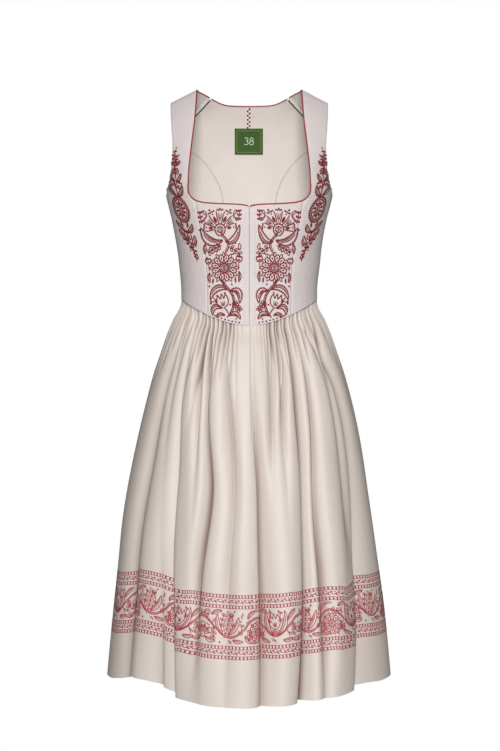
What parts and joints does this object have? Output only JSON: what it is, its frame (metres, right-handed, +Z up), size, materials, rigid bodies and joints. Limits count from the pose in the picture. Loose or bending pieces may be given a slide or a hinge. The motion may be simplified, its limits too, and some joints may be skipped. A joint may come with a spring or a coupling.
{
  "type": "dirndl",
  "caption": "Sleeveless dirndl on a hollow figure: fitted bodice with a square piped neckline, open armholes and a long gathered skirt.",
  "frame": {"origin": "midway between the two shoulders, level with the neck ends of the straps where they rest on the wearer", "axes": "+Z up along the standing wearer, -Y out of the front, +X to the viewer's right (the wearer's left)"},
  "size_m": [0.5316, 0.4356, 1.1176],
  "materials": {
    "label": "woven label, matt",
    "linen": "plain weave linen, matt",
    "lining": "plain cotton, matt",
    "red": "dyed thread and print",
    "satin": "satin, soft sheen",
    "tape": "woven tape, matt"
  },
  "bodies": {
    "root": {"front_centre_l": "linen", "front_centre_r": "linen", "front_side_l": "linen", "front_side_r": "linen", "back_centre": "linen", "back_side_l": "linen", "back_side_r": "linen", "lining_back_centre": "lining", "lining_back_side_l": "lining", "lining_back_side_r": "lining", "closure_strip": "tape", "label_back": "label", "hanging_tape": "tape", "shoulder_tape_l": "tape", "shoulder_tape_r": "tape", "piping_front_l": "red", "piping_front_r": "red", "piping_back": "red", "skirt_front_l": "satin", "skirt_front_r": "satin", "skirt_back_l": "satin", "skirt_back_r": "satin"}
  },
  "joints": []
}
